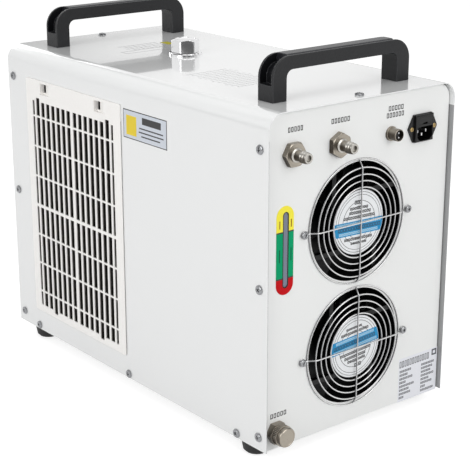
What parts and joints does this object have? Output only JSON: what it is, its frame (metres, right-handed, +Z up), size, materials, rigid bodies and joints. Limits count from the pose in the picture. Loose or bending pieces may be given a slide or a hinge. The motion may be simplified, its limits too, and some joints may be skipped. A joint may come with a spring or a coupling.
{
  "type": "recirculating chiller",
  "caption": "Benchtop recirculating water chiller in a white sheet-metal case with carrying handles, a side filter grille, rear cooling fans and hose fittings.",
  "frame": {"origin": "on the floor under the middle of the overall length and width", "axes": "+Z up; -Y towards the front panel with the controller; +Y towards the fans; +X towards the side grille"},
  "size_m": [0.2932, 0.5696, 0.46],
  "materials": {
    "hood_paint": "gloss white powder coat",
    "panel_paint": "satin white powder coat",
    "front_paint": "satin white powder coat",
    "galvanised": "zinc-plated sheet",
    "chrome": "bright plated",
    "zinc_screw": "zinc plated",
    "nickel": "nickel-plated brass",
    "brass": "plain",
    "grille_plastic": "moulded warm white",
    "filter_foam": "open black foam",
    "handle_plastic": "grained dark grey",
    "grip_plastic": "smooth dark grey",
    "foot_rubber": "black",
    "seal_rubber": "black",
    "hose_rubber": "black",
    "fan_metal": "black cast housing",
    "fan_blade_metal": "black",
    "black_plastic": "moulded black",
    "button_plastic": "grey",
    "rocker_plastic": "red",
    "clear_pane": "dark tinted",
    "clear_tube": "translucent",
    "tank_steel": "stainless",
    "compressor_paint": "black",
    "pump_metal": "painted grey",
    "fin_metal": "plain",
    "copper": null,
    "tinned_brass": "tinned"
  },
  "bodies": {
    "cabinet": {"hood": "hood_paint", "base_pan": "panel_paint", "rear_panel": "panel_paint", "front_panel": "front_paint", "feet": "foot_rubber", "foot_screws": "zinc_screw", "hood_screws": "chrome", "rear_handle": "handle_plastic", "front_handle": "handle_plastic", "handle_grips": "grip_plastic", "handle_screws": "zinc_screw", "filler_neck": "chrome", "lower_fan_frame": "fan_metal", "upper_fan_frame": "fan_metal", "lower_fan_guard": "chrome", "upper_fan_guard": "chrome", "fan_screws": "chrome", "inlet_fitting": "nickel", "outlet_fitting": "nickel", "fitting_nuts": "nickel", "drain_fitting": "nickel", "sight_tube": "clear_tube", "power_inlet": "black_plastic", "inlet_pins": "tinned_brass", "inlet_screws": "brass", "alarm_connector": "nickel", "alarm_insert": "black_plastic", "alarm_pins": "tinned_brass", "controller": "black_plastic", "display_window": "clear_pane", "switch_housing": "black_plastic", "water_tank": "tank_steel", "tank_shelf": "galvanised", "compressor": "compressor_paint", "compressor_mounts": "foot_rubber", "pump": "pump_metal", "condenser": "fin_metal", "evaporator": "tank_steel", "filter_drier": "copper", "discharge_pipe": "copper", "suction_pipe": "copper", "liquid_lines": "copper", "pump_hoses": "hose_rubber", "circuit_hoses": "hose_rubber", "drain_hose": "hose_rubber", "gauge_hoses": "hose_rubber", "electrical_box": "galvanised"},
    "lower_fan": {"lower_fan_rotor": "fan_blade_metal"},
    "upper_fan": {"upper_fan_rotor": "fan_blade_metal"},
    "filler_cap": {"filler_cap": "chrome", "cap_seal": "seal_rubber"},
    "drain_cap": {"drain_cap": "nickel"},
    "side_grille": {"side_grille": "grille_plastic", "dust_filter": "filter_foam"},
    "fuse_drawer": {"fuse_drawer": "black_plastic"},
    "power_rocker": {"power_rocker": "rocker_plastic"},
    "button_set": {"button_set": "button_plastic"},
    "button_reset": {"button_reset": "button_plastic"},
    "button_down": {"button_down": "button_plastic"},
    "button_up": {"button_up": "button_plastic"}
  },
  "joints": [
    {"name": "lower_fan_spin", "type": "hinge", "parent": "cabinet", "child": "lower_fan", "pos_m": [0.0056, 0.2248, 0.1105], "axis": [0, 1, 0], "continuous": true},
    {"name": "upper_fan_spin", "type": "hinge", "parent": "cabinet", "child": "upper_fan", "pos_m": [0.0056, 0.2248, 0.2639], "axis": [0, 1, 0], "continuous": true},
    {"name": "filler_cap_lift", "type": "slide", "parent": "cabinet", "child": "filler_cap", "axis": [0, 0, 1], "range_m": [0, 0.03]},
    {"name": "drain_cap_pull", "type": "slide", "parent": "cabinet", "child": "drain_cap", "axis": [0, 1, 0], "range_m": [0, 0.025]},
    {"name": "side_grille_open", "type": "hinge", "parent": "cabinet", "child": "side_grille", "pos_m": [0.1443, 0, 0.0451], "axis": [0, 1, 0], "range_deg": [0, 60]},
    {"name": "fuse_drawer_pull", "type": "slide", "parent": "cabinet", "child": "fuse_drawer", "axis": [0, 1, 0], "range_m": [0, 0.014]},
    {"name": "power_rocker_tilt", "type": "hinge", "parent": "cabinet", "child": "power_rocker", "pos_m": [-0.082, -0.277, 0.327], "axis": [1, 0, 0], "range_deg": [0, 20]},
    {"name": "button_set_press", "type": "slide", "parent": "cabinet", "child": "button_set", "axis": [0, 1, 0], "range_m": [0, 0.0008], "stiffness_N_per_m": 400},
    {"name": "button_reset_press", "type": "slide", "parent": "cabinet", "child": "button_reset", "axis": [0, 1, 0], "range_m": [0, 0.0008], "stiffness_N_per_m": 400},
    {"name": "button_down_press", "type": "slide", "parent": "cabinet", "child": "button_down", "axis": [0, 1, 0], "range_m": [0, 0.0008], "stiffness_N_per_m": 400},
    {"name": "button_up_press", "type": "slide", "parent": "cabinet", "child": "button_up", "axis": [0, 1, 0], "range_m": [0, 0.0008], "stiffness_N_per_m": 400}
  ]
}
